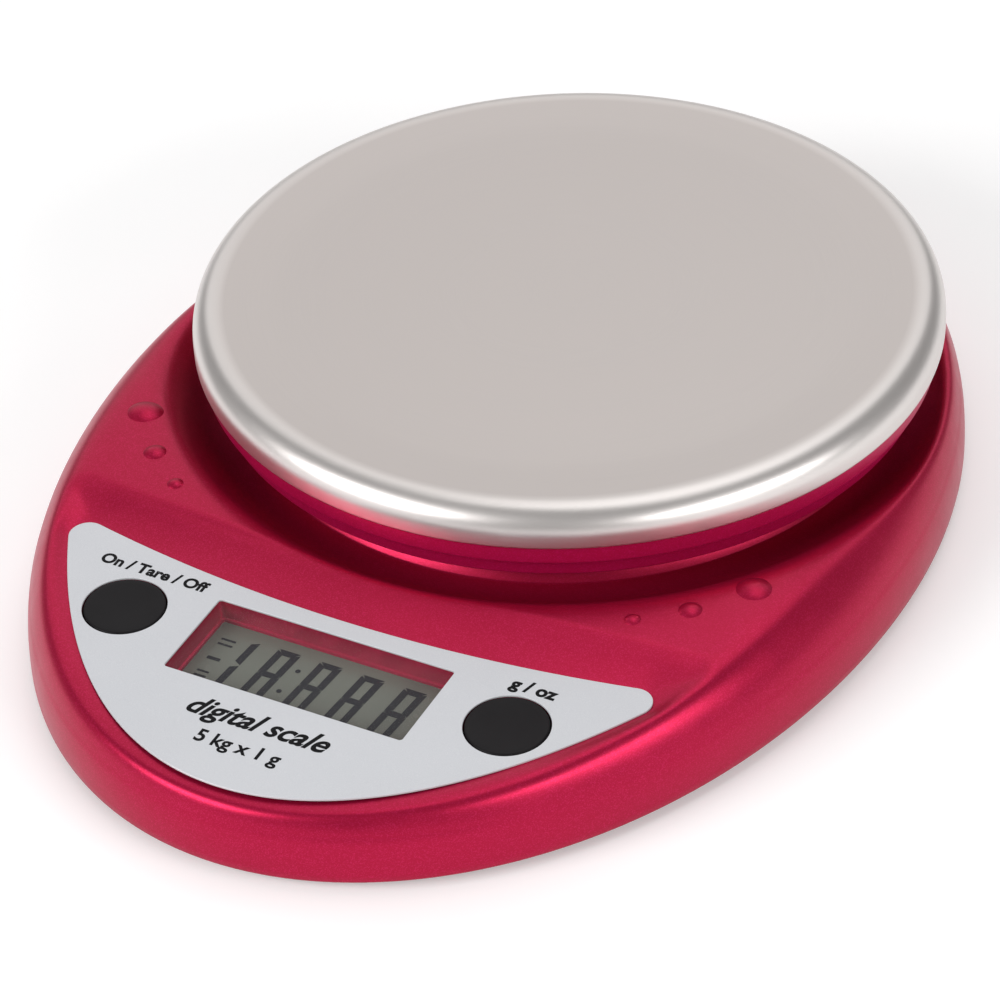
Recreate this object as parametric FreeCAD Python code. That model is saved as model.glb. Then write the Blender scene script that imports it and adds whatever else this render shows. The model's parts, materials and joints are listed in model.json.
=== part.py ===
import FreeCAD, Part
import math
import os

# Compact oval table scale: an egg-shaped plastic body, a round stainless platform on a
# single-point load cell, and a D-shaped control panel with a display and two push buttons.
# Units are millimetres. The origin is at the middle of the footprint on the table,
# +Z is up, -Y is the front (panel end) and +X is to the right of the person using it.

V = FreeCAD.Vector

# ---- driving dimensions: body ---------------------------------------------------------
HALF_WIDTH = 79.3            # widest half-width of the body
WAIST_Y = 2.5                # where the body is widest
FRONT_LENGTH = 110.5         # from the waist to the front of the body
REAR_LENGTH = 105.5          # from the waist to the rear of the body
BODY_BOTTOM = 2.0            # lower edge of the body, above the table
WALL = 2.2                   # side wall thickness
SKIN = 2.0                   # thickness of the upper surfaces
# domed side of the body: (height, inset from the widest outline)
SIDE_PROFILE = ((2.0, 0.0), (6.0, 0.25), (10.0, 0.8), (13.5, 1.8), (16.5, 3.4), (18.8, 6.0),
                (20.2, 9.0), (21.1, 12.5))

# ---- driving dimensions: platform and its well ----------------------------------------
PLATFORM_Y = 27.5            # centre of the round platform
COVER_R = 70.0
COVER_BOTTOM = 26.8
COVER_TOP = 33.9
COVER_EDGE_R = 4.8           # rounding of the cover's upper edge
COVER_SHEET = 0.6
COVER_DISH = 0.6             # how far the flat middle lies under the rim
COVER_FLAT_R = 55.0
# bowl around the platform: (radius, height)
WELL_FLOOR = 13.0
WELL_PROFILE = ((66.0, 13.0), (70.0, 14.8), (73.0, 17.2), (76.0, 19.3), (79.5, 20.2), (83.0, 20.8),
                (90.0, 21.8))
PEDESTAL_R = 62.0
PEDESTAL_TOP = 26.0
TRAY_UPPER_R = 68.8
TRAY_LOWER_R = 66.9
TRAY_STEP = 22.5
TRAY_BOTTOM = 18.7
TRAY_TOP = 32.3
TRAY_CEILING = 30.3
BROW_Y = -46.0                # the surface behind the panel's crest falls gently to the front
BROW_Z = 18.75
BROW_SLOPE = 0.075

# raised round bumps beside the platform: x, y, radius, height
BUMPS = ((62.1, -23.3, 3.1, 0.9), (54.3, -32.9, 2.1, 0.7), (46.2, -39.1, 1.5, 0.55))
BUMP_BASE = 20.1              # highest surface that a bump stands on

# ---- driving dimensions: control panel ------------------------------------------------
PANEL_Y = -63.6              # the panel plane passes through this point
PANEL_Z = 16.6
PANEL_TILT = 1.66            # degrees, rising towards the rear
OVERLAY_THICK = 0.35
OVERLAY_FRONT = -103.3
OVERLAY_A = 97.7             # semi-axes of the ellipse that shapes its front edge
OVERLAY_B = 236.9
OVERLAY_REAR = -58.0
OVERLAY_REAR_R = 278.0
OVERLAY_TIP_R = 3.4
RECESS_FRONT = -104.8        # crest line around the panel recess
RECESS_A = 72.9
RECESS_B = 99.8
RECESS_REAR = -46.7
RECESS_REAR_R = 602.0
RECESS_TIP_R = 4.2
RECESS_RISE = 1.3            # crest above the panel plane
WINDOW_X = 47.0
WINDOW_Y = 19.2
WINDOW_CENTRE_Y = -71.475
WINDOW_DEPTH = 4.3
WINDOW_DRAFT = 0.8
BUTTON_X = 38.0
BUTTON_Y = -70.2
BUTTON_R = 7.32
BUTTON_GAP = 0.28

# ---- driving dimensions: inside -------------------------------------------------------
PLATE_Z = 2.3                # bottom plate
PLATE_THICK = 2.0
FOOT_R = 6.0
FEET = ((44.0, -66.0), (50.0, 70.0))
# x, y and upper end of the screw bosses
HOUSING_BOSSES = ((0.0, -98.0, 13.8), (57.0, -50.0, 15.6), (67.0, 5.0, 12.0), (34.0, 88.0, 12.0))
CELL_LENGTH = 80.0           # load cell
CELL_SIDE = 12.7
CELL_BOTTOM = 8.0
CELL_HOLES = (20.0, 35.0)    # threaded holes, from the middle of the load cell
SEAL = 1.2                   # thickness of the sleeve on the load cell
BOARD_TOP = -8.0             # circuit board, below the panel plane
BOARD_THICK = 1.6
BOARD_BOSSES = ((24.0, -87.3), (33.0, -54.5))
BATTERY_R = 7.25
BATTERY_CAN = 49.5
BATTERY_NUB = 1.0
BAY_X = 29.0                 # inside half-length of the battery bay
BAY_Y = 62.0                 # middle of the bay
BAY_HALF_Y = 15.5
BAY_ROOF = 19.3
BAY_WALL = 1.2
BATTERY_PITCH = 15.2
TAG_Z = 16.0                 # solder tags of the battery contacts
TAG_END_X = -31.7
DOOR_THICK = 1.5
DOOR_MARGIN = 2.0            # how far the door laps over the bay's walls
HINGE_Y = 80.9
HINGE_Z = 3.5
HINGE_X = 23.0               # middle of each hinge barrel

PLATE_TOP = PLATE_Z + PLATE_THICK
CELL_TOP = CELL_BOTTOM + CELL_SIDE
CELL_Y0 = PLATFORM_Y - CELL_SIDE / 2
CELL_Y1 = PLATFORM_Y + CELL_SIDE / 2
BATTERY_Z = PLATE_TOP + BATTERY_R
UP = V(0, 0, 1)


# ---- helpers --------------------------------------------------------------------------
def box(x0, y0, z0, x1, y1, z1):
    return Part.makeBox(x1 - x0, y1 - y0, z1 - z0, V(x0, y0, z0))


def post(x, y, z0, z1, radius):
    return Part.makeCylinder(radius, z1 - z0, V(x, y, z0), UP)


def rod_x(x0, x1, y, z, radius):
    return Part.makeCylinder(radius, x1 - x0, V(x0, y, z), V(1, 0, 0))


def turned(points, centre_y=PLATFORM_Y):
    """Solid of revolution from (radius, height) points, about the platform's axis."""
    corners = [V(r, centre_y, z) for r, z in points]
    face = Part.Face(Part.makePolygon(corners + corners[:1]))
    return face.revolve(V(0, centre_y, 0), UP, 360)


def both_sides(places):
    """The given places (x, y, ...) and their mirror images, with any on the middle line once."""
    out = []
    for place in places:
        out.append(place)
        if place[0]:
            out.append((-place[0],) + tuple(place[1:]))
    return out


def edges_along(shape, direction):
    """Straight edges of a shape that run along a direction."""
    return [edge for edge in shape.Edges
            if abs(abs(edge.tangentAt(edge.FirstParameter).dot(direction)) - 1) < 1e-6]


def ellipse_arc(tip, side, centre, reach):
    """Arc of an ellipse around its tip, reach radians to each side."""
    return Part.ArcOfEllipse(Part.Ellipse(tip, side, centre), -reach, reach).toShape()


def outline(inset, z):
    """Egg-shaped outline of the body at height z, moved in by inset."""
    half = HALF_WIDTH - inset
    centre = V(0, WAIST_Y, z)
    quarter = math.pi / 2
    rear_tip = centre + V(0, REAR_LENGTH - inset, 0)
    front_tip = centre + V(0, inset - FRONT_LENGTH, 0)
    rear = ellipse_arc(rear_tip, centre + V(-half, 0, 0), centre, quarter)
    front = ellipse_arc(front_tip, centre + V(half, 0, 0), centre, quarter)
    return Part.Wire([rear, front])


def d_outline(front_y, semi_x, semi_y, rear_y, rear_r, tip_r, grow, z):
    """D-shaped outline: an elliptic front edge, a shallow rear arc and rounded tips."""
    semi_x = semi_x + grow
    semi_y = semi_y + grow
    rear_y = rear_y + grow
    rear_r = rear_r - grow
    centre = V(0, front_y - grow + semi_y, z)

    def gap(x):
        front = centre.y - semi_y * math.sqrt(1 - (x / semi_x) ** 2)
        return front - (rear_y + rear_r - math.sqrt(rear_r ** 2 - x ** 2))

    low, high = 0.0, semi_x * 0.999
    for _ in range(60):
        middle = (low + high) / 2
        if gap(middle) < 0:
            low = middle
        else:
            high = middle
    tip = low
    reach = math.asin(tip / semi_x)
    tip_y = centre.y - semi_y * math.cos(reach)
    front = ellipse_arc(V(0, centre.y - semi_y, z), centre + V(semi_x, 0, 0), centre, reach)
    rear = Part.Arc(V(tip, tip_y, z), V(0, rear_y, z), V(-tip, tip_y, z)).toShape()
    prism = Part.Face(Part.Wire([front, rear])).extrude(UP)
    rounded = prism.makeFillet(tip_r + grow, edges_along(prism, UP))
    bottom = min(rounded.Faces, key=lambda face: face.CenterOfMass.z)
    return bottom.OuterWire


def overlay_outline(grow, z):
    rear = (OVERLAY_REAR, OVERLAY_REAR_R)
    return d_outline(OVERLAY_FRONT, OVERLAY_A, OVERLAY_B, *rear, OVERLAY_TIP_R, grow, z)


def recess_outline(grow, z):
    rear = (RECESS_REAR, RECESS_REAR_R)
    return d_outline(RECESS_FRONT, RECESS_A, RECESS_B, *rear, RECESS_TIP_R, grow, z)


def on_panel(shape):
    """Move a shape that is drawn on a level panel plane (z = 0) into the tilted panel."""
    placed = shape.copy()
    placed.translate(V(0, 0, PANEL_Z))
    placed.rotate(V(0, PANEL_Y, PANEL_Z), V(1, 0, 0), PANEL_TILT)
    return placed


def slab(half_x, half_y, centre_y, z0, z1, corner_r):
    """Rectangular block with rounded corners."""
    block = box(-half_x, centre_y - half_y, z0, half_x, centre_y + half_y, z1)
    return block.makeFillet(corner_r, edges_along(block, UP))


def tube(points, radius):
    """Round lead along straight runs that are joined by tangent arcs."""
    points = [V(*p) for p in points]
    edges = []
    start = points[0]
    for before, corner, after in zip(points, points[1:], points[2:]):
        inward = (before - corner).normalize()
        outward = (after - corner).normalize()
        turn = math.pi - inward.getAngle(outward)
        back = 0.45 * min((before - corner).Length, (after - corner).Length)
        bend = back / math.tan(turn / 2)
        print("lead bend radius %.1f mm" % bend)
        arc_in = corner + inward * back
        arc_out = corner + outward * back
        middle = (inward + outward).normalize() * (math.hypot(back, bend) - bend)
        edges.append(Part.LineSegment(start, arc_in).toShape())
        edges.append(Part.Arc(arc_in, corner + middle, arc_out).toShape())
        start = arc_out
    edges.append(Part.LineSegment(start, points[-1]).toShape())
    path = Part.Wire(edges)
    direction = (points[1] - points[0]).normalize()
    ring = Part.Wire([Part.makeCircle(radius, points[0], direction)])
    solid = path.makePipeShell([ring], True, False)
    expected = math.pi * radius ** 2 * path.Length
    print("lead volume %.1f, section times length %.1f" % (solid.Volume, expected))
    return solid


def screw(x, y, seat, tip, shank_r, head_r, head_height):
    """Screw that points up: its head hangs under seat, and its shank ends at tip."""
    under = seat - head_height
    slot_x = 0.6 * head_r
    slot_y = 0.15 * head_r
    head = post(x, y, under, seat, head_r)
    driver = box(x - slot_x, y - slot_y, under, x + slot_x, y + slot_y, under + 0.4 * head_height)
    cross = driver.copy()
    cross.rotate(V(x, y, 0), UP, 90)
    return head.fuse(post(x, y, seat, tip, shank_r)).cut(driver).cut(cross)


def group(shapes):
    return Part.makeCompound(shapes)


# ---- body shells ----------------------------------------------------------------------
def body_block(inset, drop):
    """Solid egg, with its walls moved in by inset and its top lowered by drop."""
    height = SIDE_PROFILE[-1][0] - BODY_BOTTOM
    sections = [outline(inset + side, z - drop * (z - BODY_BOTTOM) / height) for z, side in SIDE_PROFILE]
    if drop:
        sections[0] = outline(inset, BODY_BOTTOM - drop)
    return Part.makeLoft(sections, True, False)


def well(grow, drop):
    """Bowl that the platform sits in."""
    slope = [(r + grow, z - drop) for r, z in WELL_PROFILE]
    return turned([(0, WELL_FLOOR - drop)] + slope + [(slope[-1][0], 60), (0, 60)])


def brow(drop):
    """Everything above the surface that falls to the panel's crest."""
    block = box(-HALF_WIDTH - 5, -150, BROW_Z - drop, HALF_WIDTH + 5, 0, 60)
    block.rotate(V(0, BROW_Y, BROW_Z - drop), V(1, 0, 0), math.degrees(math.atan(BROW_SLOPE)))
    return block


def recess(grow, drop):
    """Shallow dish around the panel."""
    seat = overlay_outline(0.5 + grow, -OVERLAY_THICK - drop)
    crest = recess_outline(grow, RECESS_RISE - drop)
    above = recess_outline(grow + 8.0, RECESS_RISE + 5.0 - drop)
    lower = Part.makeLoft([seat, crest], True, True)
    upper = Part.makeLoft([crest, above], True, True)
    return on_panel(lower).fuse(on_panel(upper))


def funnel(grow, z_top, z_bottom):
    """Drafted display opening."""
    sections = []
    for z in (z_top, z_bottom):
        draft = WINDOW_DRAFT * -z / WINDOW_DEPTH
        half_x = WINDOW_X / 2 - draft + grow
        half_y = WINDOW_Y / 2 - draft + grow
        corners = [V(sx * half_x, WINDOW_CENTRE_Y + sy * half_y, z)
                   for sx, sy in ((-1, -1), (1, -1), (1, 1), (-1, 1), (-1, -1))]
        sections.append(Part.makePolygon(corners))
    return Part.makeLoft(sections, True, True)


def top_housing():
    outer = body_block(0, 0).cut(brow(0)).cut(well(0, 0)).cut(recess(0, 0))
    for x, y, radius, height in both_sides(BUMPS):
        ball = (radius ** 2 + height ** 2) / (2 * height)
        base = min(BUMP_BASE, BROW_Z + BROW_SLOPE * (y - BROW_Y))
        outer = outer.fuse(Part.makeSphere(ball, V(x, y, base + height - ball)))
    pedestal = post(0, PLATFORM_Y, WELL_FLOOR - 1, PEDESTAL_TOP, PEDESTAL_R)
    rim = [e for e in pedestal.Edges if e.CenterOfMass.z > PEDESTAL_TOP - 0.1 and e.Length > 100]
    pedestal = pedestal.makeFillet(2.0, rim)
    cavity = body_block(WALL, SKIN).cut(brow(SKIN)).cut(well(1.2, SKIN)).cut(recess(2.0, SKIN))
    room = post(0, PLATFORM_Y, WELL_FLOOR - SKIN - 1, PEDESTAL_TOP - SKIN + 0.2, PEDESTAL_R - SKIN)
    cavity = cavity.fuse(room)
    shell = outer.fuse(pedestal).cut(cavity)

    boss_holes = []
    for x, y, top in both_sides(HOUSING_BOSSES):
        shell = shell.fuse(post(x, y, PLATE_TOP, top, 3.2))
        boss_holes.append(post(x, y, PLATE_TOP - 1, 10.6, 1.35))
    for x, y in both_sides(BOARD_BOSSES):
        shell = shell.fuse(on_panel(post(x, y, BOARD_TOP, -1.3, 2.4)))
        boss_holes.append(on_panel(post(x, y, BOARD_TOP - 1, -3.5, 1.12)))
    shell = shell.fuse(on_panel(funnel(1.5, -1.5, -WINDOW_DEPTH + 0.1)))

    cuts = boss_holes
    cuts.append(on_panel(funnel(0, 1.0, -WINDOW_DEPTH)))
    window_seat = slab(WINDOW_X / 2 + 1.6, WINDOW_Y / 2 + 1.6, WINDOW_CENTRE_Y, -1.15, 1, 1.0)
    cuts.append(on_panel(window_seat))
    for side in (-1, 1):
        cuts.append(on_panel(post(side * BUTTON_X, BUTTON_Y, -4, 1, BUTTON_R + BUTTON_GAP)))
    cuts.append(box(13.0, PLATFORM_Y - 7.6, 20, 42.0, PLATFORM_Y + 7.6, 30))
    for cutter in cuts:
        shell = shell.cut(cutter)
    return shell


def bay_shell():
    """Battery bay: four walls and a roof that stand on the bottom plate."""
    y0, y1 = BAY_Y - BAY_HALF_Y, BAY_Y + BAY_HALF_Y
    x1 = BAY_X + BAY_WALL
    outer = box(-x1, y0 - BAY_WALL, PLATE_Z + DOOR_THICK, x1, y1 + BAY_WALL, BAY_ROOF + BAY_WALL)
    return outer, box(-BAY_X, y0, PLATE_Z - 1, BAY_X, y1, BAY_ROOF)


def tag_slots(grow):
    """Solder tags of the two battery terminals, which pass through the bay's wall."""
    tags = []
    half = 0.2 + grow
    for side in (-1, 1):
        y = BAY_Y + side * BATTERY_PITCH / 2
        tags.append(box(TAG_END_X, y - 0.8 - half, TAG_Z - half, -BAY_X + 0.3, y + 0.8 + half, TAG_Z + half))
    return tags


def bottom_housing():
    plate = Part.Face(outline(WALL + 0.4, PLATE_Z)).extrude(V(0, 0, PLATE_THICK))
    bay, bay_room = bay_shell()
    plate = plate.fuse(bay)
    low = PLATE_Z + 0.5
    seat_x = -CELL_LENGTH / 2 - 0.5
    plate = plate.fuse(box(seat_x, PLATFORM_Y - 6.6, low, -14.5, PLATFORM_Y + 6.6, CELL_BOTTOM))
    plate = plate.fuse(post(CELL_HOLES[1], PLATFORM_Y, low, 6.5, 4.0))
    for x in (-HINGE_X, HINGE_X):
        plate = plate.fuse(box(x - 7, HINGE_Y - 1.4, low, x + 7, HINGE_Y + 2.2, 6.0))

    cuts = [bay_room, *tag_slots(0.15)]
    lap_x = BAY_X + DOOR_MARGIN
    lap_y0 = BAY_Y - BAY_HALF_Y - DOOR_MARGIN
    cuts.append(box(-lap_x, lap_y0, PLATE_Z - 1, lap_x, HINGE_Y - 1.2, PLATE_Z + DOOR_THICK))
    for x in (-HINGE_X, HINGE_X):
        notch = box(x - 4.2, HINGE_Y - 2.0, PLATE_Z - 1, x + 4.2, HINGE_Y + 1.4, HINGE_Z + 1.5)
        cuts.append(notch)
        cuts.append(rod_x(x - 5.6, x + 5.6, HINGE_Y, HINGE_Z, 0.75))
    for x, y, _ in both_sides(HOUSING_BOSSES):
        cuts.append(post(x, y, PLATE_Z - 1, PLATE_Z + 1.2, 3.0))
        cuts.append(post(x, y, PLATE_Z, PLATE_TOP + 1, 1.7))
    for x, y in both_sides(FEET):
        cuts.append(post(x, y, PLATE_Z - 1, PLATE_Z + 0.6, FOOT_R + 0.15))
    for x in CELL_HOLES:
        cuts.append(post(-x, PLATFORM_Y, PLATE_Z - 1, PLATE_Z + 2.7, 3.8))
        cuts.append(post(-x, PLATFORM_Y, PLATE_Z, CELL_BOTTOM + 1, 2.2))
    cuts.append(post(CELL_HOLES[1], PLATFORM_Y, PLATE_Z - 1, 7, 2.0))
    for cutter in cuts:
        plate = plate.cut(cutter)
    return plate


def battery_door():
    x1 = BAY_X + DOOR_MARGIN - 0.3
    y0 = BAY_Y - BAY_HALF_Y - DOOR_MARGIN + 0.3
    top = PLATE_Z + DOOR_THICK
    door = box(-x1, y0, PLATE_Z, x1, HINGE_Y - 2.1, top - 0.1)
    for x in (-HINGE_X, HINGE_X):
        lug = box(x - 3.6, HINGE_Y - 2.2, PLATE_Z + 0.3, x + 3.6, HINGE_Y, HINGE_Z + 0.2)
        door = door.fuse(lug).fuse(rod_x(x - 3.6, x + 3.6, HINGE_Y, HINGE_Z, 1.1))
        door = door.fuse(rod_x(x - 5.4, x + 5.4, HINGE_Y, HINGE_Z, 0.7))
    thumb = Part.makeCylinder(9, 20, V(-10, y0 + 3.5, PLATE_Z - 8.4), V(1, 0, 0))
    for x in (-8.0, 8.0):
        door = door.cut(box(x - 0.4, y0 - 1, PLATE_Z - 1, x + 0.4, y0 + 9, top + 1))
    return door.cut(thumb)


def foot(x, y):
    pad = post(x, y, 0, PLATE_Z + 0.6, FOOT_R)
    lower = [e for e in pad.Edges if e.CenterOfMass.z < 0.1 and e.Length > 10]
    return pad.makeChamfer(0.5, lower)


# ---- platform -------------------------------------------------------------------------
def platform_cover():
    """Pressed stainless sheet with a rolled-over edge and a gently dished middle."""
    corner = COVER_R - COVER_EDGE_R
    shoulder = COVER_TOP - COVER_EDGE_R
    diagonal = math.sqrt(0.5)

    def half_section(sheet):
        radius = COVER_EDGE_R - sheet
        top = COVER_TOP - sheet
        return [Part.LineSegment(V(COVER_R - sheet, 0, COVER_BOTTOM), V(COVER_R - sheet, 0, shoulder)),
                Part.Arc(V(COVER_R - sheet, 0, shoulder),
                         V(corner + radius * diagonal, 0, shoulder + radius * diagonal), V(corner, 0, top)),
                Part.LineSegment(V(corner, 0, top), V(COVER_FLAT_R, 0, top - COVER_DISH)),
                Part.LineSegment(V(COVER_FLAT_R, 0, top - COVER_DISH), V(0, 0, top - COVER_DISH))]

    outer = [curve.toShape() for curve in half_section(0)]
    inner = [curve.toShape() for curve in half_section(COVER_SHEET)]
    middle = Part.makeLine(V(0, 0, COVER_TOP - COVER_DISH), V(0, 0, COVER_TOP - COVER_DISH - COVER_SHEET))
    lip = Part.makeLine(V(COVER_R - COVER_SHEET, 0, COVER_BOTTOM), V(COVER_R, 0, COVER_BOTTOM))
    face = Part.Face(Part.Wire(outer + [middle] + inner[::-1] + [lip]))
    cover = face.revolve(V(0, 0, 0), UP, 360)
    cover.translate(V(0, PLATFORM_Y, 0))
    return cover


def cover_pads():
    """Thin cushions under the cover that keep it from sliding on the tray."""
    pads = []
    top = COVER_TOP - COVER_DISH - COVER_SHEET
    for turn in range(4):
        angle = math.radians(45 + 90 * turn)
        pads.append(post(44 * math.cos(angle), PLATFORM_Y + 44 * math.sin(angle), TRAY_TOP, top, 5.0))
    return group(pads)


def platform_tray():
    edge_r = 3.8
    ring = TRAY_UPPER_R - edge_r
    shoulder = TRAY_TOP - edge_r
    rounding = []
    for degrees in range(0, 91, 15):
        angle = math.radians(degrees)
        rounding.append((ring + edge_r * math.sin(angle), shoulder + edge_r * math.cos(angle)))
    inner_r = TRAY_LOWER_R - 1.7
    skirt = [(TRAY_UPPER_R, TRAY_STEP), (TRAY_LOWER_R, TRAY_STEP), (TRAY_LOWER_R, TRAY_BOTTOM),
             (inner_r, TRAY_BOTTOM), (inner_r, TRAY_STEP), (inner_r + 1.6, TRAY_STEP + 1.6),
             (inner_r + 1.6, shoulder), (inner_r - 0.6, TRAY_CEILING)]
    tray = turned([(0, TRAY_TOP)] + rounding + skirt + [(0, TRAY_CEILING)])
    for x, y in SPIDER_SCREWS:
        tray = tray.cut(post(x, y, TRAY_CEILING - 1, TRAY_TOP - 0.4, 0.92))
    return tray


SPIDER_ARM = 56.0
SPIDER_THICK = 2.0
SPIDER_SCREWS = ((50.0, PLATFORM_Y), (-50.0, PLATFORM_Y), (0.0, PLATFORM_Y + 50.0), (0.0, PLATFORM_Y - 50.0))


def platform_spider():
    """Cross that spreads the load, with a block that stands on the load cell's free end."""
    z0, z1 = TRAY_CEILING - SPIDER_THICK, TRAY_CEILING
    arms = box(-SPIDER_ARM, PLATFORM_Y - 10, z0, SPIDER_ARM, PLATFORM_Y + 10, z1)
    arms = arms.fuse(box(-10, PLATFORM_Y - SPIDER_ARM, z0, 10, PLATFORM_Y + SPIDER_ARM, z1))
    block = box(14.5, CELL_Y0, CELL_TOP, 40.5, CELL_Y1, z0 + 0.5)
    spider = arms.fuse(block)
    for x, y in SPIDER_SCREWS:
        spider = spider.cut(post(x, y, z0 - 1, z1 + 1, 1.2))
    for x in CELL_HOLES:
        spider = spider.cut(post(x, PLATFORM_Y, z1 - 2.6, z1 + 1, 3.8))
        spider = spider.cut(post(x, PLATFORM_Y, CELL_TOP - 1, z1, 2.2))
    return spider.removeSplitter()


def spider_screws():
    seat = TRAY_CEILING - SPIDER_THICK
    return group([screw(x, y, seat, TRAY_TOP - 0.5, 0.9, 2.0, 1.1) for x, y in SPIDER_SCREWS])


def cell_top_screws():
    """Two screws from above, heads sunk in the spider, shanks in the load cell's free end."""
    screws = []
    for x in CELL_HOLES:
        seat = TRAY_CEILING - 2.6
        head = post(x, PLATFORM_Y, seat, TRAY_CEILING - 0.1, 3.5)
        socket = post(x, PLATFORM_Y, seat + 1.0, TRAY_CEILING + 1, 1.7)
        screws.append(head.fuse(post(x, PLATFORM_Y, CELL_BOTTOM + 4, seat, 1.95)).cut(socket))
    return group(screws)


# ---- load cell ------------------------------------------------------------------------
def load_cell():
    """Aluminium beam with a double hole that bends, fixed at -X and loaded at +X."""
    half = CELL_LENGTH / 2
    beam = box(-half, CELL_Y0, CELL_BOTTOM, half, CELL_Y1, CELL_TOP)
    middle = (CELL_BOTTOM + CELL_TOP) / 2
    for x in (-7, 7):
        beam = beam.cut(Part.makeCylinder(5.2, CELL_SIDE + 2, V(x, CELL_Y0 - 1, middle), V(0, 1, 0)))
    beam = beam.cut(box(-7, PLATFORM_Y - CELL_SIDE, middle - 2, 7, PLATFORM_Y + CELL_SIDE, middle + 2))
    for x in (*CELL_HOLES, *[-hole for hole in CELL_HOLES]):
        beam = beam.cut(post(x, PLATFORM_Y, CELL_BOTTOM - 1, CELL_TOP + 1, 2.0))
    return beam


def gauge_seal():
    """Soft sleeve that keeps damp off the strain gauges."""
    sleeve = box(-13, CELL_Y0 - SEAL, CELL_BOTTOM - SEAL, 13, CELL_Y1 + SEAL, CELL_TOP + SEAL)
    sleeve = sleeve.makeFillet(1.0, edges_along(sleeve, V(1, 0, 0)))
    return sleeve.cut(box(-20, CELL_Y0, CELL_BOTTOM, 20, CELL_Y1, CELL_TOP))


def cell_base_screws():
    return group([screw(-x, PLATFORM_Y, PLATE_Z + 2.7, CELL_TOP - 4, 1.95, 3.5, 2.5) for x in CELL_HOLES])


def overload_stop():
    """Set screw whose tip limits how far the free end can bend."""
    x = CELL_HOLES[1]
    stop = post(x, PLATFORM_Y, PLATE_Z + 0.4, CELL_BOTTOM - 0.5, 1.95)
    return stop.cut(box(x - 2, PLATFORM_Y - 0.4, PLATE_Z, x + 2, PLATFORM_Y + 0.4, PLATE_Z + 1.2))


# ---- control panel --------------------------------------------------------------------
def panel_overlay():
    film = Part.Face(overlay_outline(0, -OVERLAY_THICK)).extrude(V(0, 0, OVERLAY_THICK))
    film = film.cut(slab(WINDOW_X / 2, WINDOW_Y / 2, WINDOW_CENTRE_Y, -1, 1, 0.6))
    for side in (-1, 1):
        film = film.cut(post(side * BUTTON_X, BUTTON_Y, -1, 1, BUTTON_R + BUTTON_GAP))
    return on_panel(film)


def display_window():
    lap = 1.5
    return on_panel(slab(WINDOW_X / 2 + lap, WINDOW_Y / 2 + lap, WINDOW_CENTRE_Y, -1.15, -OVERLAY_THICK, 0.9))


LCD_X = 25.5
LCD_Y = 11.5
LCD_THICK = 2.2


def lcd_glass():
    """Two bonded glass plates; the lower one is longer and carries the contacts."""
    top = -WINDOW_DEPTH
    front = box(-LCD_X, WINDOW_CENTRE_Y - LCD_Y + 2, top - 1.1, LCD_X, WINDOW_CENTRE_Y + LCD_Y - 2, top)
    back = box(-LCD_X, WINDOW_CENTRE_Y - LCD_Y, top - LCD_THICK, LCD_X, WINDOW_CENTRE_Y + LCD_Y, top - 1.1)
    return on_panel(front.fuse(back))


def lcd_holder():
    top = -WINDOW_DEPTH
    outer = slab(LCD_X + 1.6, LCD_Y + 1.6, WINDOW_CENTRE_Y, BOARD_TOP, top, 1.0)
    room = box(-LCD_X - 0.1, WINDOW_CENTRE_Y - LCD_Y - 0.1, BOARD_TOP - 1, LCD_X + 0.1,
               WINDOW_CENTRE_Y + LCD_Y + 0.1, top + 1)
    return on_panel(outer.cut(room))


def contact_strips():
    """Conductive rubber strips between the display glass and the circuit board."""
    strips = []
    for side in (-1, 1):
        y = WINDOW_CENTRE_Y + side * (LCD_Y - 1.4)
        strips.append(on_panel(box(-23, y - 0.9, BOARD_TOP, 23, y + 0.9, -WINDOW_DEPTH - LCD_THICK)))
    return group(strips)


SWITCH_TOP = BOARD_TOP + 3.5
PLUNGER_TOP = BOARD_TOP + 4.3


def push_button(x):
    """Cap that shows on the panel, a hidden flange that holds it in, and a stem."""
    cap = post(x, BUTTON_Y, -2.5, 0.0, BUTTON_R)
    rim = [e for e in cap.Edges if e.CenterOfMass.z > -0.1 and e.Length > 20]
    cap = cap.makeFillet(0.35, rim)
    flange = post(x, BUTTON_Y, -3.3, -2.5, BUTTON_R + 1.2)
    return on_panel(cap.fuse(flange).fuse(post(x, BUTTON_Y, PLUNGER_TOP, -3.3, 1.75)))


def switch_plunger(x):
    return on_panel(post(x, BUTTON_Y, SWITCH_TOP - 0.4, PLUNGER_TOP, 1.7))


def switch_housing(x):
    half = 3.0
    case = box(x - half, BUTTON_Y - half, BOARD_TOP, x + half, BUTTON_Y + half, SWITCH_TOP)
    return on_panel(case.cut(post(x, BUTTON_Y, SWITCH_TOP - 0.9, SWITCH_TOP + 1, 1.78)))


# ---- circuit board --------------------------------------------------------------------
BOARD_OUTLINE = ((-44, -50), (44, -50), (44, -76), (34, -90), (-34, -90), (-44, -76))
BOARD_BOTTOM = BOARD_TOP - BOARD_THICK


def main_board():
    corners = [V(x, y, BOARD_BOTTOM) for x, y in BOARD_OUTLINE]
    board = Part.Face(Part.makePolygon(corners + corners[:1])).extrude(V(0, 0, BOARD_THICK))
    for x, y in both_sides(BOARD_BOSSES):
        board = board.cut(post(x, y, BOARD_BOTTOM - 1, BOARD_TOP + 1, 1.4))
    return on_panel(board)


def board_screws():
    places = both_sides(BOARD_BOSSES)
    return group([on_panel(screw(x, y, BOARD_BOTTOM, -4.5, 1.1, 2.1, 1.2)) for x, y in places])


def controller_chip():
    """Flat package with ten legs on each long side, under the board."""
    z = BOARD_BOTTOM
    body = box(-7, -74, z - 1.5, 7, -69, z - 0.2)
    for index in range(10):
        x = -5.72 + 1.27 * index
        body = body.fuse(box(x - 0.2, -75.5, z - 0.45, x + 0.2, -67.5, z))
    return on_panel(body)


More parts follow.
